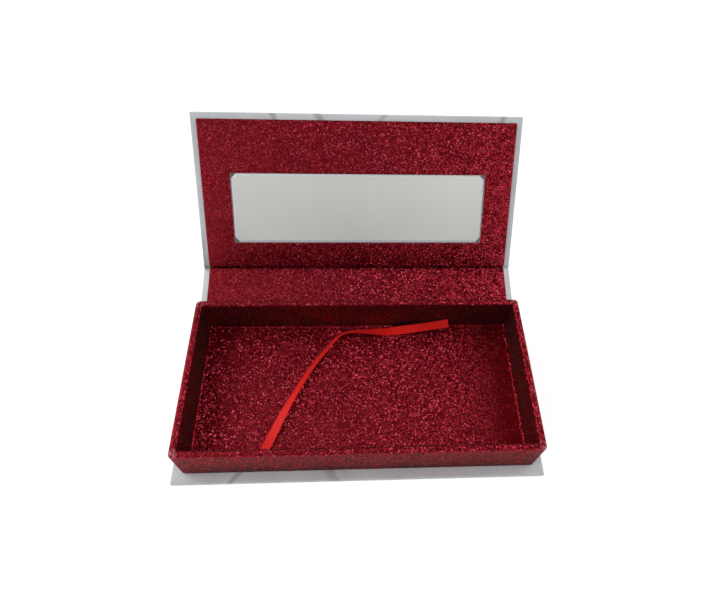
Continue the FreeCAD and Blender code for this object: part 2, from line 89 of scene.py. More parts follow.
# The glitter papers of the spine and the lid, and the window that is cut through the lid's by hand
SPINE_LINER_EDGE = 0.1 * MM
PANEL_EDGE = 0.3 * MM
PANEL_CORNER = 0.4 * MM
PANEL_CORNER_LEAST = 0.1 * MM
WINDOW_GAP = 0.2 * MM
WINDOW_CORNER = 0.3 * MM
WINDOW_STEP = 0.08 * MM
WINDOW_WAVE = 0.12 * MM
WINDOW_WAVE_LONG = 5 * MM
WINDOW_WAVE_SEED = 3

# The mirror's bevel and clipped corners
BEVEL = 0.7 * MM
BEVEL_DROP = 0.25 * MM
CLIP = 1.8 * MM

# How finely the meshes are divided, what is shaded as an edge, and what counts as the same place
ARC_STEPS = 5
SIDE_STEPS = 12
LONG_STEPS = 24
PANEL_STEPS = 30
SPINE_STEPS = 8
CREASE_STEPS = 6
BORDER_STEPS = 4
ROUTE_STEPS = 16
RIBBON_STEPS = 8
SHARP_ANGLE = math.radians(35)
MIRROR_SHARP_ANGLE = math.radians(5)
HAIR = 0.01 * MM
WELD = 0.001 * MM

# The pull ribbon: its route over the tray floor, from its slit to its free end, and how it rolls on the way.
# It is thinner between its two edges. Where the level share of its direction is under RIBBON_STEEP, its width
# lies as it does in the slit.
RIBBON_ROUTE = (
    (-31.0 * MM, -22.2 * MM, 0.0),
    (-28.6 * MM, -17.2 * MM, 0.0),
    (-25.2 * MM, -9.2 * MM, 0.0),
    (-20.9 * MM, -0.6 * MM, 0.0),
    (-15.8 * MM, 8.4 * MM, 0.0),
    (-10.7 * MM, 15.1 * MM, 0.0),
    (-7.1 * MM, 20.0 * MM, 0.0),
    (-2.0 * MM, 21.2 * MM, 0.0),
    (6.0 * MM, 21.0 * MM, 0.0),
    (14.0 * MM, 21.5 * MM, 0.0),
    (22.0 * MM, 22.0 * MM, 0.5 * MM),
    (31.7 * MM, 22.75 * MM, 2.3 * MM),
)
RIBBON_ROLL = (
    (0.0, 0), (0.08, -8), (0.17, -24), (0.28, -42), (0.39, -50), (0.57, -55), (0.64, -40), (0.70, -22),
    (0.76, 4), (0.82, 32), (0.88, 50), (0.94, 50), (1.0, 43),
)
RIBBON_WIDTH = 3.0 * MM
RIBBON_THICK = 0.3 * MM
RIBBON_THIN_SHARE = 0.75
RIBBON_EDGE_POWER = 8
RIBBON_SUNK = 1.2 * MM
RIBBON_STEEP = 0.2
SLIT_OPEN = 0.5 * MM
SLIT_LONG = 3.2 * MM

# The glitter's flakes, and the rubbed spots at the tray's rim corners: how far in from the corner a spot's
# middle lies, and the distances from there where the wear starts to fade and ends
FLAKE = 0.36 * MM
FLAKE_TILT = 0.75
RUBBED_IN = Vector((1.0, 1.0, 0.2)) * MM
RUBBED_REACH = (0.5 * MM, 2.2 * MM)

# Veins of the marble paper: where each crosses the middle of the tray, its slant, and how wide it is. They
# wander by up to half of VEIN_DRIFT each way, in waves of about VEIN_DRIFT_LONG.
VEINS = (
    (-16.0 * MM, 0.84, 1.9 * MM),
    (-26.5 * MM, -0.6, 2.4 * MM),
    (-73.7 * MM, 1.0, 1.6 * MM),
    (40.7 * MM, -0.9, 1.7 * MM),
    (73.6 * MM, -1.1, 1.5 * MM),
)
VEIN_DRIFT = 9 * MM
VEIN_DRIFT_LONG = 14 * MM

# Brightness of the room by the sine of the height above the horizon, and its share from the left to the
# right, which changes sides at the turn's height: the right is brighter below it, and the left above
ROOM_TONES = ((0.0, 0.42), (0.30, 0.48), (0.42, 0.62), (0.60, 0.36), (0.80, 0.15), (0.95, 0.20), (1.0, 0.42))
ROOM_SIDES = ((0.0, 0.75), (0.30, 0.85), (0.40, 1.08), (0.50, 0.96), (0.60, 1.10), (0.70, 1.1), (1.0, 1.1))
ROOM_TURN = 0.63
ROOM_SPAN = 0.26

# The lamps, with their places and watts, and the floor
SOFTBOXES = (
    ("left_softbox", (-0.50, 0.10, 0.42), 2.8),
    ("right_softbox", (0.48, 0.08, 0.44), 1.35),
)
SOFTBOX_SIZE = (0.8, 0.5)
FLOOR_HALF = 15
FLOOR_DROP = 0.05 * MM
FLOOR_TONE = (0.80, 0.80, 0.80, 1)
FLOOR_GLOW = 0.64

# Panels of the case, as their joints place them
joints = {j["name"]: j for j in frame["joints"]}


def leaned(joint, lean):
    """From a panel's own axes to the frame, for a panel that leans about a joint."""
    return Matrix.Translation(joint["pos_m"]) @ Matrix.Rotation(lean, 4, "X")


SPINE_LEAN = math.radians(-joints["spine_hinge"]["range_deg"][0])
LID_LEAN = SPINE_LEAN + math.radians(-joints["lid_hinge"]["range_deg"][0])
BASE_AT = Matrix.Identity(4)
SPINE_AT = leaned(joints["spine_hinge"], SPINE_LEAN)
LID_AT = leaned(joints["lid_hinge"], LID_LEAN)


def panel_box(node, at):
    """Lowest and highest corner of a CAD node in its panel's own axes."""
    back = at.inverted()
    points = [back @ v.co for v in frame["nodes"][node].data.vertices]
    return Vector(map(min, zip(*points))), Vector(map(max, zip(*points)))


def marble_thickness():
    """Thickness of the marble paper, which lies between the base's underside and its board."""
    return panel_box("base_board", BASE_AT)[0].z - panel_box("base_wrap", BASE_AT)[0].z


def glitter_thickness():
    """Thickness of the glitter paper, which is plain on the spine."""
    low, high = panel_box("spine_liner", SPINE_AT)
    return high.z - low.z


# Camera

def make_camera():
    az, el, roll = CAMERA_AZIMUTH, CAMERA_ELEVATION, CAMERA_ROLL
    ahead = Vector((math.sin(az) * math.cos(el), math.cos(az) * math.cos(el), -math.sin(el)))
    level = Vector((math.cos(az), -math.sin(az), 0))
    upright = level.cross(ahead)
    right = level * math.cos(roll) + upright * math.sin(roll)
    up = upright * math.cos(roll) - level * math.sin(roll)
    data = bpy.data.cameras.new("camera")
    data.lens = FOCAL_PIXELS / PHOTO_WIDTH * data.sensor_width
    data.shift_x = (PHOTO_WIDTH / 2 - MIDDLE_PIXEL[0]) / PHOTO_WIDTH
    data.shift_y = (MIDDLE_PIXEL[1] - PHOTO_HEIGHT / 2) / PHOTO_WIDTH
    data.clip_start = CAMERA_NEAR
    camera = bpy.data.objects.new("camera", data)
    bpy.context.scene.collection.objects.link(camera)
    turn = Matrix((right, up, -ahead)).transposed().to_4x4()
    camera.matrix_world = Matrix.Translation(CAMERA_PLACE) @ turn
    bpy.context.scene.camera = camera


# Materials

class Nodes:
    """A node tree while its nodes are being joined. An input is a value or another node's output."""

    def __init__(self, tree):
        self.tree = tree

    def add(self, kind, inputs=None, **settings):
        node = self.tree.nodes.new("ShaderNode" + kind)
        for key, value in settings.items():
            setattr(node, key, value)
        for key, value in (inputs or {}).items():
            if isinstance(value, bpy.types.NodeSocket):
                self.tree.links.new(value, node.inputs[key])
            else:
                node.inputs[key].default_value = value
        return node

    def number(self, operation, *values):
        return self.add("Math", dict(enumerate(values)), operation=operation).outputs["Value"]

    def vector(self, operation, *values, output="Vector"):
        return self.add("VectorMath", dict(enumerate(values)), operation=operation).outputs[output]

    def scaled(self, vector, factor):
        return self.add("VectorMath", {0: vector, "Scale": factor}, operation="SCALE").outputs["Vector"]

    def mapped(self, value, low, high, to_low=0.0, to_high=1.0, **settings):
        """A value that runs from low to high, stretched to run from to_low to to_high."""
        inputs = {"Value": value, "From Min": low, "From Max": high, "To Min": to_low, "To Max": to_high}
        return self.add("MapRange", inputs, **settings).outputs["Result"]

    def span(self, factor, low, high):
        """A factor from 0 to 1, stretched to run from low to high."""
        return self.mapped(factor, 0.0, 1.0, low, high)

    def ramp(self, factor, stops):
        """A colour that follows a factor from 0 to 1 through the stops."""
        node = self.add("ValToRGB", {"Fac": factor})
        elements = node.color_ramp.elements
        for _ in stops[2:]:
            elements.new(0.5)
        for element, (position, colour) in zip(elements, stops):
            element.position = position
            element.color = (*colour, 1)
        return node.outputs["Color"]


class Surface(Nodes):
    """A Principled material while its nodes are being joined."""

    def __init__(self, name, constants):
        self.material = bpy.data.materials.new(name)
        self.material.use_nodes = True
        super().__init__(self.material.node_tree)
        self.shader = next(n for n in self.tree.nodes if n.type == "BSDF_PRINCIPLED")
        for socket, value in constants.items():
            self.shader.inputs[socket].default_value = value

    def feed(self, socket, source):
        self.tree.links.new(source, self.shader.inputs[socket])

    def place(self):
        """Where a point is on its piece, in metres."""
        return self.add("TexCoord").outputs["Object"]

    def rest_place(self):
        """Where a point of a new piece was made, in metres, so that a pattern stays on a paper that bends."""
        return self.add("Attribute", attribute_name="rest_place").outputs["Vector"]

    def speckle(self, size, detail, vector=None):
        """Cloudy noise with blotches of about that size."""
        inputs = {"Vector": vector or self.place(), "Scale": 1 / size, "Detail": detail}
        return self.add("TexNoise", inputs).outputs["Fac"]

    def blend(self, factor, first, second, blend_type="MIX"):
        """Two colours mixed, each of them another node's output or three numbers."""
        inputs = {"Fac": factor}
        for key, colour in (("Color1", first), ("Color2", second)):
            inputs[key] = colour if isinstance(colour, bpy.types.NodeSocket) else (*colour, 1)
        return self.add("MixRGB", inputs, blend_type=blend_type).outputs["Color"]

    def bump(self, height, distance, strength=1.0):
        inputs = {"Height": height, "Distance": distance, "Strength": strength}
        self.feed("Normal", self.add("Bump", inputs).outputs["Normal"])


def glitter_paper():
    """Deep red glitter: flat flakes that each have their own tone and tilt, rubbed at the rim's corners. The
    palest pink flakes are painted sparkle.
    """
    s = Surface("glitter_paper", {
        "Metallic": 1.0, "Specular Tint": (0.06, 0.14, 0.15, 1), "Coat Weight": 0.16, "Coat Roughness": 0.15,
        "Sheen Weight": 0.055, "Sheen Roughness": 0.4, "Sheen Tint": (1.0, 0.9, 0.88, 1),
    })
    place = s.rest_place()
    flakes = s.add("TexVoronoi", {"Vector": place, "Scale": 1 / FLAKE}).outputs["Color"]
    chance = s.add("SeparateColor", {"Color": flakes}).outputs
    # The flakes' tones differ at random, but the palest pink stop at the top of the ramp is painted sparkle, a
    # glint laid into the colour.
    tone = s.ramp(chance["Red"], (
        (0.0, (0.1, 0.001, 0.003)), (0.5, (0.29, 0.004, 0.013)), (0.9, (0.48, 0.016, 0.038)),
        (1.0, (0.7, 0.09, 0.14)),
    ))
    cloud = s.ramp(s.speckle(9 * MM, 2.0, place), ((0.3, (0.86, 0.86, 0.86)), (0.7, (1.0, 1.0, 1.0))))
    paint = s.blend(1.0, tone, cloud, "MULTIPLY")
    rim_corner = panel_box("tray_wrap", BASE_AT)[1] - RUBBED_IN
    off = s.vector("DISTANCE", s.vector("ABSOLUTE", place), rim_corner, output="Value")
    rubbed = s.mapped(off, *RUBBED_REACH, 0.7, 0.0)
    patchy = s.mapped(s.speckle(1.2 * MM, 3.0, place), 0.42, 0.55)
    worn = s.number("MULTIPLY", rubbed, patchy)
    s.feed("Base Color", s.blend(worn, paint, (0.52, 0.20, 0.23)))
    s.feed("Roughness", s.span(chance["Green"], 0.28, 0.42))
    lean = s.scaled(s.vector("SUBTRACT", flakes, (0.5, 0.5, 0.5)), FLAKE_TILT)
    turned = s.vector("ADD", s.add("NewGeometry").outputs["Normal"], lean)
    turned = s.vector("NORMALIZE", turned)
    s.feed("Normal", turned)
    s.feed("Coat Normal", turned)
    return s.material


def marble_paper():
    """White printed paper with soft grey clouds and a few broken grey-brown veins."""
    s = Surface("marble_paper", {"Specular IOR Level": 0.4})
    place = s.rest_place()
    drift = s.add("TexNoise", {"Vector": place, "Scale": 1 / VEIN_DRIFT_LONG, "Detail": 5.0}).outputs["Color"]
    drift = s.scaled(s.vector("SUBTRACT", drift, (0.5, 0.5, 0.5)), VEIN_DRIFT)
    moved = s.vector("ADD", place, drift)
    nearest = None
    for start, slant, width in VEINS:
        across = s.vector("DOT_PRODUCT", moved, (1.0, -slant, 0.0), output="Value")
        off = s.number("ABSOLUTE", s.number("SUBTRACT", across, start))
        off = s.number("DIVIDE", off, width)
        nearest = s.number("MINIMUM", nearest, off) if nearest else off
    white, grey, brown = (0.76, 0.785, 0.81), (0.50, 0.48, 0.47), (0.30, 0.23, 0.18)
    cloud = s.ramp(s.speckle(16 * MM, 5.0, moved), ((0.35, (0.68, 0.695, 0.72)), (0.6, white)))
    core = s.ramp(s.speckle(4 * MM, 4.0, place), ((0.35, grey), (0.65, brown)))
    near = s.mapped(nearest, 0.15, 1.0, 0.75, 0.0, interpolation_type="SMOOTHSTEP")
    shown = s.mapped(s.speckle(11 * MM, 3.0, place), 0.25, 0.6, 0.5, 1.0)
    s.feed("Base Color", s.blend(s.number("MULTIPLY", near, shown), cloud, core))
    s.feed("Roughness", s.span(s.speckle(2 * MM, 2.0, place), 0.42, 0.55))
    s.bump(s.speckle(0.15 * MM, 4.0, place), 0.01 * MM, 0.5)
    return s.material


def fibre_board(name, dark, light, grain):
    """Pressed board or tape, with fibres and specks."""
    s = Surface(name, {"Specular IOR Level": 0.25})
    fibres = s.speckle(grain, 8.0)
    specks = s.speckle(0.5 * MM, 3.0)
    s.feed("Base Color", s.ramp(s.blend(0.4, fibres, specks), ((0.3, dark), (0.7, light))))
    s.feed("Roughness", s.span(fibres, 0.75, 0.95))
    s.bump(fibres, 0.03 * MM)
    return s.material


def satin_ribbon():
    """Red satin: fine threads that run along the ribbon, crossed by finer ones, between two firmer edges that
    carry painted shade as a darker colour.
    """
    s = Surface("satin_ribbon", {
        "Specular IOR Level": 0.9, "Specular Tint": (1.0, 0.14, 0.12, 1),
        "Anisotropic": 0.8, "Anisotropic Rotation": 0.25,
        "Sheen Weight": 0.3, "Sheen Roughness": 0.4, "Sheen Tint": (1.0, 0.18, 0.12, 1),
    })
    weave = s.add("UVMap", uv_map="weave").outputs["UV"]
    s.feed("Tangent", s.add("Tangent", direction_type="UV_MAP", uv_map="weave").outputs["Tangent"])
    along = s.add("TexWave", {"Vector": weave, "Scale": 1300.0, "Distortion": 1.2, "Detail": 2.0},
                  bands_direction="Y").outputs["Fac"]
    across = s.add("TexWave", {"Vector": weave, "Scale": 900.0, "Distortion": 0.6},
                   bands_direction="X").outputs["Fac"]
    threads = s.blend(0.45, along, across)
    drawn = s.add("Mapping", {"Vector": weave, "Scale": (0.04, 1.0, 1.0)}).outputs["Vector"]
    streaks = s.speckle(0.7 * MM, 3.0, drawn)
    dark, light, selvedge_painted_shade = (0.66, 0.005, 0.007), (1.0, 0.026, 0.022), (0.74, 0.008, 0.011)
    cloth = s.ramp(s.blend(0.6, threads, streaks), ((0.33, dark), (0.56, light)))
    aside = s.number("ABSOLUTE", s.add("SeparateXYZ", {"Vector": weave}).outputs["Y"])
    # Painted shade: the firmer selvedges along both edges of the ribbon are coloured darker.
    edge = s.mapped(aside, 0.40 * RIBBON_WIDTH, 0.46 * RIBBON_WIDTH)
    s.feed("Base Color", s.blend(edge, cloth, selvedge_painted_shade))
    s.feed("Roughness", s.span(along, 0.30, 0.42))
    s.bump(threads, 0.02 * MM, 0.6)
    return s.material


def metal():
    """Nickel plating with a fine brushed grain."""
    s = Surface("magnet_metal", {"Metallic": 1.0})
    stretched = s.add("Mapping", {"Vector": s.place(), "Scale": (40.0, 1.0, 1.0)}).outputs["Vector"]
    grain = s.speckle(200 * MM, 6.0, stretched)
    s.feed("Base Color", s.ramp(grain, ((0.3, (0.52, 0.52, 0.53)), (0.7, (0.68, 0.68, 0.69)))))
    s.feed("Roughness", s.span(grain, 0.25, 0.4))
    return s.material


def mirror_glass():
    """Silvered glass with the faint smears of handling."""
    s = Surface("mirror_glass", {"Metallic": 1.0})
    cloud = s.speckle(20 * MM, 4.0)
    s.feed("Base Color", s.ramp(cloud, ((0.3, (0.84, 0.845, 0.805)), (0.7, (0.87, 0.875, 0.835)))))
    s.feed("Roughness", s.mapped(cloud, 0.60, 0.8, 0.0, 0.03))
    return s.material


def glass_edge():
    """The ground edge of the mirror: frosted, pale grey."""
    s = Surface("glass_edge", {"Specular IOR Level": 0.5})
    grain = s.speckle(0.3 * MM, 4.0)
    s.feed("Base Color", s.ramp(grain, ((0.3, (0.80, 0.80, 0.83)), (0.7, (0.92, 0.92, 0.95)))))
    s.feed("Roughness", s.span(grain, 0.3, 0.5))
    return s.material


def paper_core():
    """The white cut edge of the glitter paper and its card."""
    s = Surface("paper_core", {"Specular IOR Level": 0.25})
    fibres = s.speckle(0.4 * MM, 5.0)
    s.feed("Base Color", s.ramp(fibres, ((0.35, (0.78, 0.76, 0.79)), (0.65, (0.92, 0.91, 0.94)))))
    s.feed("Roughness", s.span(fibres, 0.7, 0.9))
    return s.material


def foam_tape():
    """White double-sided tape with fine cells."""
    s = Surface("foam_tape", {"Specular IOR Level": 0.3})
    cells = s.speckle(0.25 * MM, 3.0)
    s.feed("Base Color", s.ramp(cells, ((0.3, (0.78, 0.78, 0.76)), (0.7, (0.88, 0.88, 0.86)))))
    s.feed("Roughness", s.span(cells, 0.6, 0.8))
    return s.material


# Meshes

def arc(centre, radius, start, end):
    """Points on an arc of (inset, height), angles in degrees from the inset axis."""
    turns = [math.radians(start + (end - start) * i / ARC_STEPS) for i in range(ARC_STEPS + 1)]
    return [(centre[0] + radius * math.cos(a), centre[1] + radius * math.sin(a)) for a in turns]


def spread(start, end, count):
    """Values from start up to, and without, end."""
    return [start + (end - start) * i / count for i in range(count)]


def piece(name, bm, at, body, materials, nodes):
    """Finish a mesh in its panel's axes as a piece that stands for CAD nodes. A piece that names no body is left
    unattached.
    """
    bmesh.ops.recalc_face_normals(bm, faces=bm.faces)
    mesh = bpy.data.meshes.new(name)
    bm.to_mesh(mesh)
    bm.free()
    mesh.transform(at)
    made_at = mesh.attributes.new("rest_place", "FLOAT_VECTOR", "POINT")
    for entry, vertex in zip(made_at.data, mesh.vertices):
        entry.vector = vertex.co
    mesh.shade_smooth()
    mesh.set_sharp_from_angle(angle=SHARP_ANGLE)
    for material in materials:
        mesh.materials.append(looks[material])
    obj = bpy.data.objects.new(name, mesh)
    bpy.context.scene.collection.objects.link(obj)
    if body:
        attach(obj, body)
    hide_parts(*nodes)
    return obj


def skin(bm, rings, loop, tube=False, material=0):
    """Faces between neighbouring rings of points, and from the last ring to the first in a tube."""
    rows = [[bm.verts.new(p) for p in ring] for ring in rings]
    count = len(rows[0])
    pairs = list(zip(rows, rows[1:])) + ([(rows[-1], rows[0])] if tube else [])
    for low, high in pairs:
        for i in range(count if loop else count - 1):
            j = (i + 1) % count
            bm.faces.new((low[i], low[j], high[j], high[i])).material_index = material
    return rows


def close(bm, rows):
    """Faces over the first and the last ring."""
    bm.faces.new(rows[0])
    bm.faces.new(rows[-1])


def thicken(bm, thickness):
    """Give a paper its thickness, inwards from the faces that were made."""
    bmesh.ops.recalc_face_normals(bm, faces=bm.faces)
    bmesh.ops.solidify(bm, geom=bm.faces[:], thickness=thickness)


def box_ring(low, high, inset, corner, height, groove=0.0, steps=SIDE_STEPS):
    """A closed ring in by inset from a box, with round corners that a groove dips in their middles."""
    x, front, rear = high.x - inset - corner, low.y + inset + corner, high.y - inset - corner
    middles = ((x, front), (x, rear), (-x, rear), (-x, front))
    points = []
    for number, middle in enumerate(middles):
        turn = -90 + 90 * number
        for i, (u, v) in enumerate(arc(middle, corner, turn, turn + 90)):
            points.append(Vector((u, v, height - (groove if i == ARC_STEPS // 2 else 0))))
        out = math.radians(turn + 90)
        beside = Vector((math.cos(out), math.sin(out), 0)) * corner
        start = Vector((*middle, height)) + beside
        end = Vector((*middles[(number + 1) % 4], height)) + beside
        points += [start.lerp(end, t) for t in spread(0, 1, steps)[1:]]
    return points


def wrap_ring(half, opening, far, inset, height, corner, groove):
    """An open ring along the left, far and right edges of a panel, in by inset."""
    sign = 1 if far > opening else -1
    corner = max(corner - inset, MITRE_WIDTH)
    x, y = half - inset - corner, far - sign * (inset + corner)
    bend = [(a, b, height - (groove if i == ARC_STEPS // 2 else 0))
            for i, (a, b) in enumerate(arc((0, 0), corner, 180, 90))]
    left = [Vector((u - x, y + sign * v, z)) for u, v, z in bend]
    right = [Vector((-p.x, p.y, p.z)) for p in reversed(left)]
    start = Vector((inset - half, opening, height))
    end = Vector((half - inset, opening, height))
    there = [start.lerp(left[0], t) for t in spread(0, 1, SIDE_STEPS)]
    across = [left[-1].lerp(right[0], t) for t in spread(0, 1, LONG_STEPS)[1:]]
    back = [right[-1].lerp(end, t) for t in spread(0, 1, SIDE_STEPS)[1:]]
    return there + left + across + right + back + [end]


def edge_profile(thick, radius, turn_in):
    """(inset, height) from the turned-in edge of a paper round a board's edge to its outer face."""
    top = arc((radius, thick - radius), radius, 90, 180)
    bottom = arc((radius, radius), radius, 180, 270)
    return [(turn_in, thick)] + top + bottom


def wrapped_panel(name, at, body, node, turn_in, opening_high):
    """Marble paper round three edges of a board, with mitred corners, open at the crease."""
    low, high = panel_box(node, at)
    opening, far = (high.y, low.y) if opening_high else (low.y, high.y)
    bm = bmesh.new()
    rings = []
    for inset, height in edge_profile(high.z, MARBLE_EDGE, turn_in):
        groove = MITRE_DEPTH if height > high.z - HAIR else 0
        rings.append(wrap_ring(high.x, opening, far, inset, height, MARBLE_EDGE, groove))
    rows = skin(bm, rings, loop=False)
    bm.faces.new(rows[-1])
    thicken(bm, marble_thickness())
    piece(name, bm, at, body, ["marble_paper"], [node])


def make_case():
    """The marble-papered base, spine and lid."""
    turn_in = panel_box("lid_wrap", LID_AT)[1].x - TURNED_IN_TO
    wrapped_panel("base_paper", BASE_AT, "case_base", "base_wrap", turn_in, True)
    wrapped_panel("lid_paper", LID_AT, "lid", "lid_wrap", turn_in, False)
    low, high = panel_box("spine_wrap", SPINE_AT)
    profile = edge_profile(high.z, MARBLE_EDGE, turn_in)
    section = [(inset - high.x, z) for inset, z in profile]
    section += [(high.x - inset, z) for inset, z in reversed(profile)]
    lines = spread(low.y, high.y, SPINE_STEPS) + [high.y]
    bm = bmesh.new()
    skin(bm, [[Vector((x, y, z)) for x, z in section] for y in lines], loop=False)
    thicken(bm, marble_thickness())
    piece("spine_paper", bm, SPINE_AT, "spine", ["marble_paper"], ["spine_wrap"])


def make_spine_liner():
    """Glitter paper on the spine's inside."""
    low, high = panel_box("spine_liner", SPINE_AT)
    profile = [(0, low.z), (0, high.z - SPINE_LINER_EDGE), (SPINE_LINER_EDGE, high.z)]
    bm = bmesh.new()
    rings = [box_ring(low, high, inset, 2 * SPINE_LINER_EDGE, z) for inset, z in profile]
    close(bm, skin(bm, rings, loop=True))
    piece("spine_glitter", bm, SPINE_AT, "spine", ["glitter_paper"], ["spine_liner"])


def wavy(ring, amount, wave, seed):
    """A cut edge: the ring's points strayed a little, in its own plane, alike in each run."""
    noise.seed_set(seed)
    strayed = []
    for p in ring:
        stray = noise.noise_vector(Vector((p.x, p.y, 0)) / wave)
        strayed.append(p + Vector((stray.x, stray.y, 0)) * amount)
    return strayed


def make_lid_panel():
    """Glitter paper over the lid's card, with the mirror's window cut through it."""
    low, high = panel_box("lid_liner", LID_AT)
    mirror_low, mirror_high = panel_box("mirror", LID_AT)
    under = panel_box("lid_panel_card", LID_AT)[1].z
    paper = high.z - under
    foot = mirror_high.z - BEVEL_DROP

    def outer(inset, height):
        corner = max(PANEL_CORNER - inset, PANEL_CORNER_LEAST)
        return box_ring(low, high, inset, corner, height, steps=PANEL_STEPS)

    def inner(height, back=0.0):
        ring = box_ring(mirror_low, mirror_high, -WINDOW_GAP - back, WINDOW_CORNER, height, steps=PANEL_STEPS)
        return wavy(ring, WINDOW_WAVE, WINDOW_WAVE_LONG, WINDOW_WAVE_SEED)

    rounded = arc((PANEL_EDGE, high.z - PANEL_EDGE), PANEL_EDGE, 180, 90)
    outside = [outer(0, low.z)] + [outer(inset, z) for inset, z in rounded]
    cut = [inner(high.z), inner(foot), inner(foot, WINDOW_STEP), inner(under, WINDOW_STEP)]
    shell = outside + cut + [outer(paper, under), outer(paper, low.z)]
    bm = bmesh.new()
    skin(bm, shell, loop=True, tube=True)
    bm.faces.ensure_lookup_table()
    count = len(shell[0])
    first = len(outside) * count
    for face in bm.faces[first:first + 2 * count]:
        face.material_index = 1
    piece("lid_glitter", bm, LID_AT, "lid", ["glitter_paper", "paper_core"], ["lid_liner"])


def make_mirror():
    """The mirror: a thin plate with a ground edge and clipped corners."""
    low, high = panel_box("mirror", LID_AT)

    def outline(inset, height):
        x, a, b = high.x - inset, low.y + inset, high.y - inset
        clip = CLIP - inset * (2 - math.sqrt(2))
        flat = ((clip - x, a), (x - clip, a), (x, a + clip), (x, b - clip), (x - clip, b), (clip - x, b),
                (-x, b - clip), (-x, a + clip))
        return [Vector((u, v, height)) for u, v in flat]

    bm = bmesh.new()
    outlines = [outline(0, low.z), outline(0, high.z - BEVEL_DROP), outline(BEVEL, high.z)]
    close(bm, skin(bm, outlines, loop=True, material=1))
    plate = piece("mirror_plate", bm, LID_AT, "lid", ["mirror_glass", "glass_edge"],
                  ["mirror"])
    plate.data.set_sharp_from_angle(angle=MIRROR_SHARP_ANGLE)


def make_tray():
    """Glitter paper under, outside, over the rim of and inside the tray, and on its floor."""
    low, high = panel_box("tray_wrap", BASE_AT)
    floor_low, floor_high = panel_box("tray_floor_liner", BASE_AT)
    paper, r = glitter_thickness(), GLITTER_EDGE
    wall = high.x - floor_high.x - LINER_GAP
    outer = [(TRAY_UNDER, low.z)] + arc((r, low.z + r), r, 270, 180) + arc((r, high.z - r), r, 180, 90)
    inner = arc((wall - r, high.z - r), r, 90, 0) + [(wall, floor_low.z)]
    back = [(wall - paper, floor_low.z), (wall - paper, high.z - paper), (paper, high.z - paper),
            (paper, low.z + paper), (TRAY_UNDER, low.z + paper)]
    rings = []
    for inset, z in outer + inner + back:
        groove = MITRE_DEPTH if z > high.z - HAIR else 0
        rings.append(box_ring(low, high, inset, max(TRAY_CORNER - inset, MITRE_WIDTH), z, groove))
    bm = bmesh.new()
    skin(bm, rings, loop=True, tube=True)
    piece("tray_glitter", bm, BASE_AT, "case_base", ["glitter_paper"], ["tray_wrap"])
    make_floor_liner(floor_low, floor_high)


def make_floor_liner(low, high):
    """Glitter paper on the tray's floor, turned up against the walls, with the ribbon's slit through it."""
    bm = bmesh.new()
    turned_up = [(0, low.z)] + arc((LINER_LIP, high.z + LINER_LIP), LINER_LIP, 180, 270)
    rows = skin(bm, [box_ring(low, high, inset, LINER_CORNER, z) for inset, z in turned_up], loop=True)
    ahead = ribbon_heading()
    aside = Vector((-ahead.y, ahead.x, 0))
    middle = Vector((*RIBBON_ROUTE[0][:2], 0))
    corners = [middle + ahead * (u * SLIT_OPEN / 2) + aside * (v * SLIT_LONG / 2)
               for u, v in ((1, -1), (1, 1), (-1, 1), (-1, -1))]
    slit = skin(bm, [[p + Vector((0, 0, z)) for p in corners] for z in (low.z, high.z)], loop=True)
    for ring, hole in ((rows[0], slit[0]), (rows[-1], slit[1])):
        edge = min(v.co.y for v in ring) + HAIR
        front = sorted((v.co.x, i) for i, v in enumerate(ring) if v.co.y < edge)
        left = max(i for x, i in front if x < hole[2].co.x)
        right = next(i for x, i in front if x > hole[3].co.x)
        bm.faces.new(ring[left:right + 1] + [hole[3], hole[2]])
        bm.faces.new(ring[right:] + ring[:left + 1] + [hole[2], hole[1], hole[0], hole[3]])
    piece("floor_glitter", bm, BASE_AT, "case_base", ["glitter_paper"], ["tray_floor_liner"])


# Creases

def prism(bm, section, start, end, columns):
    """A closed section of (y, z) points run along x, with its two ends left open."""
    places = spread(start, end, columns) + [end]
    return skin(bm, [[Vector((x, y, z)) for y, z in section] for x in places], loop=True)


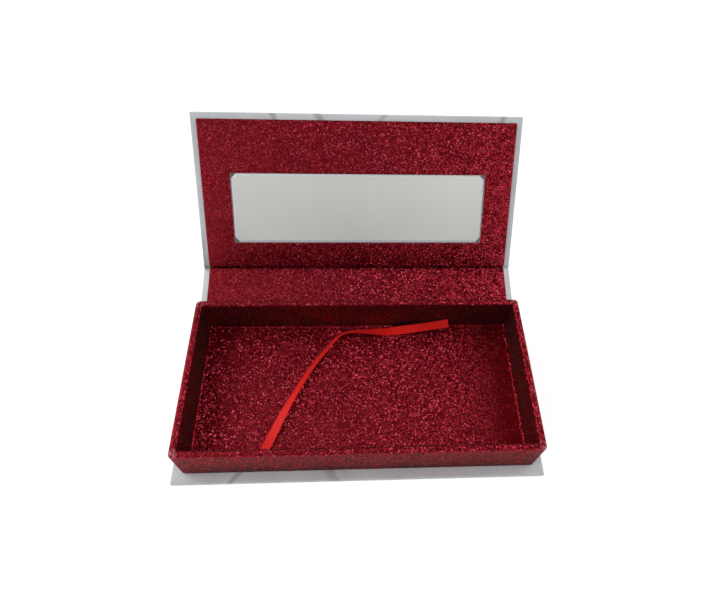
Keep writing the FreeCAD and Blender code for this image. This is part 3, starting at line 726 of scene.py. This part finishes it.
def make_crease(names, nodes, first_at, first_end, second_at, second_start, valley):
    """The outer paper that bends along a crease, its folded-in borders, and the glitter paper in its groove.

    The first panel ends at first_end, given in its own axes, and the second starts at second_start.
    """
    paper, liner = marble_thickness(), CREASE_LINER
    base_high = panel_box("base_wrap", BASE_AT)[1]
    case_half, thick = base_high.x, base_high.z
    panel_half = panel_box("spine_liner", SPINE_AT)[1].x
    line = second_at.translation
    half_turn = (second_at.to_euler().x - first_at.to_euler().x) / 2
    gap = (line - first_at @ Vector((0, first_end, 0))).length

    def on_first(y, h):
        return tuple((first_at @ Vector((0, y, h))).yz)

    def on_second(y, h):
        return tuple((second_at @ Vector((0, y, h))).yz)

    def bent(height):
        """Points from panel to panel, at a height above their outer faces."""
        mitre = height * math.tan(half_turn)
        points = [on_first(first_end + (gap - mitre) * t, height) for t in spread(0, 1, CREASE_STEPS)]
        points += [on_second(mitre + (second_start - mitre) * t, height) for t in spread(0, 1, CREASE_STEPS)]
        return points + [on_second(second_start, height)]

    outside, inside = bent(0), bent(paper)
    bottom = line + (second_at @ Vector((0, 0, valley)) - line) @ Matrix.Rotation(half_turn, 3, "X")
    crest = thick - FOLD_DROP
    fold = [on_second(second_start, crest), tuple(bottom.yz), on_first(first_end, crest)]
    bm = bmesh.new()
    middle = prism(bm, outside + inside[::-1], -panel_half, panel_half, LONG_STEPS)
    count = len(outside)
    for side, shared in ((-1, middle[0]), (1, middle[-1])):
        section = outside + inside[-1:] + fold + inside[:1]
        border = prism(bm, section, side * panel_half, side * case_half, BORDER_STEPS)
        bm.faces.new(border[-1])
        bm.faces.new(shared[count:] + border[0][count + 1:-1][::-1])
    bmesh.ops.remove_doubles(bm, verts=bm.verts, dist=WELD)
    obj = piece(names[0], bm, BASE_AT, None, ["marble_paper"], [nodes[0]])
    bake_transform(obj)

    groove = [
        on_first(first_end, thick), on_first(first_end + liner, thick),
        on_first(first_end + liner, paper + liner), on_second(second_start - liner, paper + liner),
        on_second(second_start - liner, thick), on_second(second_start, thick),
        on_second(second_start, paper), on_first(first_end, paper),
    ]
    bm = bmesh.new()
    close(bm, prism(bm, groove, -panel_half, panel_half, LONG_STEPS))
    obj = piece(names[1], bm, BASE_AT, None, ["glitter_paper"], [nodes[1]])
    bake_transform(obj)


def make_creases():
    """The crease between base and spine, and the one between spine and lid."""
    base_end = panel_box("base_wrap", BASE_AT)[1].y
    spine_low, spine_high = panel_box("spine_wrap", SPINE_AT)
    lid_start = panel_box("lid_wrap", LID_AT)[0].y
    make_crease(("rear_crease_paper", "rear_crease_glitter"), ("rear_hinge_paper", "rear_hinge_liner"),
                BASE_AT, base_end, SPINE_AT, spine_low.y, REAR_VALLEY)
    make_crease(("lid_crease_paper", "lid_crease_glitter"), ("lid_hinge_paper", "lid_hinge_liner"),
                SPINE_AT, spine_high.y, LID_AT, lid_start, LID_VALLEY)


# The pull ribbon

def ribbon_line(floor):
    """Points along the ribbon's NURBS route, with its end down in the slit first."""
    curve = bpy.data.curves.new("ribbon_route", "CURVE")
    curve.dimensions = "3D"
    curve.resolution_u = ROUTE_STEPS
    height = floor + RIBBON_THICK / 2
    route = [(*RIBBON_ROUTE[0][:2], floor - RIBBON_SUNK)] + [(x, y, height + up) for x, y, up in RIBBON_ROUTE]
    spline = curve.splines.new("NURBS")
    spline.points.add(len(route) - 1)
    for point, place in zip(spline.points, route):
        point.co = (*place, 1)
    spline.order_u = 3
    spline.use_endpoint_u = True
    holder = bpy.data.objects.new("ribbon_route", curve)
    mesh = bpy.data.meshes.new_from_object(holder)
    line = [v.co.copy() for v in mesh.vertices]
    bpy.data.meshes.remove(mesh)
    bpy.data.objects.remove(holder)
    bpy.data.curves.remove(curve)
    return line


def ribbon_heading():
    """Which way the ribbon leaves its slit."""
    return (Vector(RIBBON_ROUTE[1]) - Vector(RIBBON_ROUTE[0])).normalized()


def between(stops, share):
    """A value that runs straight from stop to stop as the share grows."""
    for (a, low), (b, high) in zip(stops, stops[1:]):
        if share <= b:
            return low + (high - low) * (share - a) / (b - a)
    return stops[-1][1]


def make_ribbon():
    """A satin ribbon that leaves its slit flat, twists on edge at its bend and leans back at its end."""
    floor = panel_box("tray_floor_liner", BASE_AT)[1].z
    line = ribbon_line(floor)
    lengths = [0.0]
    for a, b in zip(line, line[1:]):
        lengths.append(lengths[-1] + (b - a).length)
    half, upright = RIBBON_WIDTH / 2, Vector((0, 0, 1))
    across = [-1 + 2 * i / RIBBON_STEPS for i in range(RIBBON_STEPS + 1)]
    thin = RIBBON_THIN_SHARE
    upper = [(v, 0.5 * (thin + (1 - thin) * v ** RIBBON_EDGE_POWER)) for v in across]
    section = upper + [(v, -h) for v, h in reversed(upper)]
    bm = bmesh.new()
    weave = bm.loops.layers.uv.new("weave")
    rings, path = [], []
    for i, point in enumerate(line):
        ahead = (line[min(i + 1, len(line) - 1)] - line[max(i - 1, 0)]).normalized()
        level = upright.cross(ahead)
        if level.length < RIBBON_STEEP:
            level = upright.cross(ribbon_heading())
        level.normalize()
        roll = math.radians(between(RIBBON_ROLL, lengths[i] / lengths[-1]))
        wide = Matrix.Rotation(roll, 3, ahead) @ level
        up = ahead.cross(wide)
        lifted = point + upright * (half * abs(math.sin(roll)))
        path.append(lifted)
        rings.append([lifted + wide * (half * v) + up * (RIBBON_THICK * h) for v, h in section])
    rows = skin(bm, rings, loop=True)
    close(bm, rows)
    where = {v: (lengths[i], section[j][0] * half) for i, row in enumerate(rows) for j, v in enumerate(row)}
    for face in bm.faces:
        for loop in face.loops:
            loop[weave].uv = where[loop.vert]
    ribbon = piece("ribbon", bm, BASE_AT, "case_base", ["satin_ribbon"], ["pull_ribbon"])


# Stage and light

def make_stage():
    """A pale floor that keeps the case's shadow and is white to the camera and in reflections."""
    bm = bmesh.new()
    bmesh.ops.create_grid(bm, x_segments=1, y_segments=1, size=FLOOR_HALF)
    mesh = bpy.data.meshes.new("floor")
    bm.to_mesh(mesh)
    bm.free()
    floor = bpy.data.objects.new("floor", mesh)
    floor.location.z = -FLOOR_DROP
    bpy.context.scene.collection.objects.link(floor)
    s = Surface("floor", {
        "Base Color": FLOOR_TONE, "Roughness": 0.9, "Specular IOR Level": 0.1, "Emission Color": (1, 1, 1, 1),
    })
    rays = s.add("LightPath").outputs
    seen = rays["Is Camera Ray"]
    for other in ("Is Glossy Ray", "Is Transmission Ray"):
        seen = s.number("MAXIMUM", seen, rays[other])
    s.feed("Emission Strength", s.span(seen, 0.0, FLOOR_GLOW))
    mesh.materials.append(s.material)


def softbox(name, place, energy):
    """A rectangular lamp that faces the case."""
    data = bpy.data.lights.new(name, "AREA")
    data.shape = "RECTANGLE"
    data.size, data.size_y = SOFTBOX_SIZE
    data.energy = energy
    lamp = bpy.data.objects.new(name, data)
    lamp.location = place
    lamp.rotation_euler = (-lamp.location).to_track_quat("-Z", "Y").to_euler()
    bpy.context.scene.collection.objects.link(lamp)


def make_light():
    """A pale room with a dim ceiling, and a softbox on each side of the case."""
    world = bpy.data.worlds.new("studio")
    bpy.context.scene.world = world
    world.use_nodes = True
    room = Nodes(world.node_tree)
    background = next(n for n in room.tree.nodes if n.type == "BACKGROUND")
    direction = room.add("SeparateXYZ", {"Vector": room.add("TexCoord").outputs["Generated"]}).outputs
    below = room.number("SUBTRACT", ROOM_TURN, direction["Z"])
    across = room.mapped(room.number("MULTIPLY", direction["X"], below), -ROOM_SPAN, ROOM_SPAN)
    for factor, stops, socket in ((direction["Z"], ROOM_TONES, "Color"), (across, ROOM_SIDES, "Strength")):
        greys = [(position, (tone, tone, tone)) for position, tone in stops]
        room.tree.links.new(room.ramp(factor, greys), background.inputs[socket])
    for name, place, energy in SOFTBOXES:
        softbox(name, place, energy)


make_camera()
looks = {
    "greyboard": fibre_board("greyboard", (0.34, 0.31, 0.28), (0.50, 0.47, 0.44), 1.5 * MM),
    "kraft_tape": fibre_board("kraft_tape", (0.44, 0.30, 0.18), (0.60, 0.44, 0.28), 3.0 * MM),
    "marble_paper": marble_paper(),
    "glitter_paper": glitter_paper(),
    "satin_ribbon": satin_ribbon(),
    "magnet_metal": metal(),
    "mirror_glass": mirror_glass(),
    "glass_edge": glass_edge(),
    "paper_core": paper_core(),
    "foam_tape": foam_tape(),
}
make_ribbon()
for part in frame["record"]["subparts"]:
    node = frame["nodes"][part["node"]]
    node.data.materials.clear()
    node.data.materials.append(looks[part["material_slot"]])
make_case()
make_creases()
make_spine_liner()
make_lid_panel()
make_mirror()
make_tray()
make_stage()
make_light()
bpy.context.scene.view_settings.view_transform = "Standard"
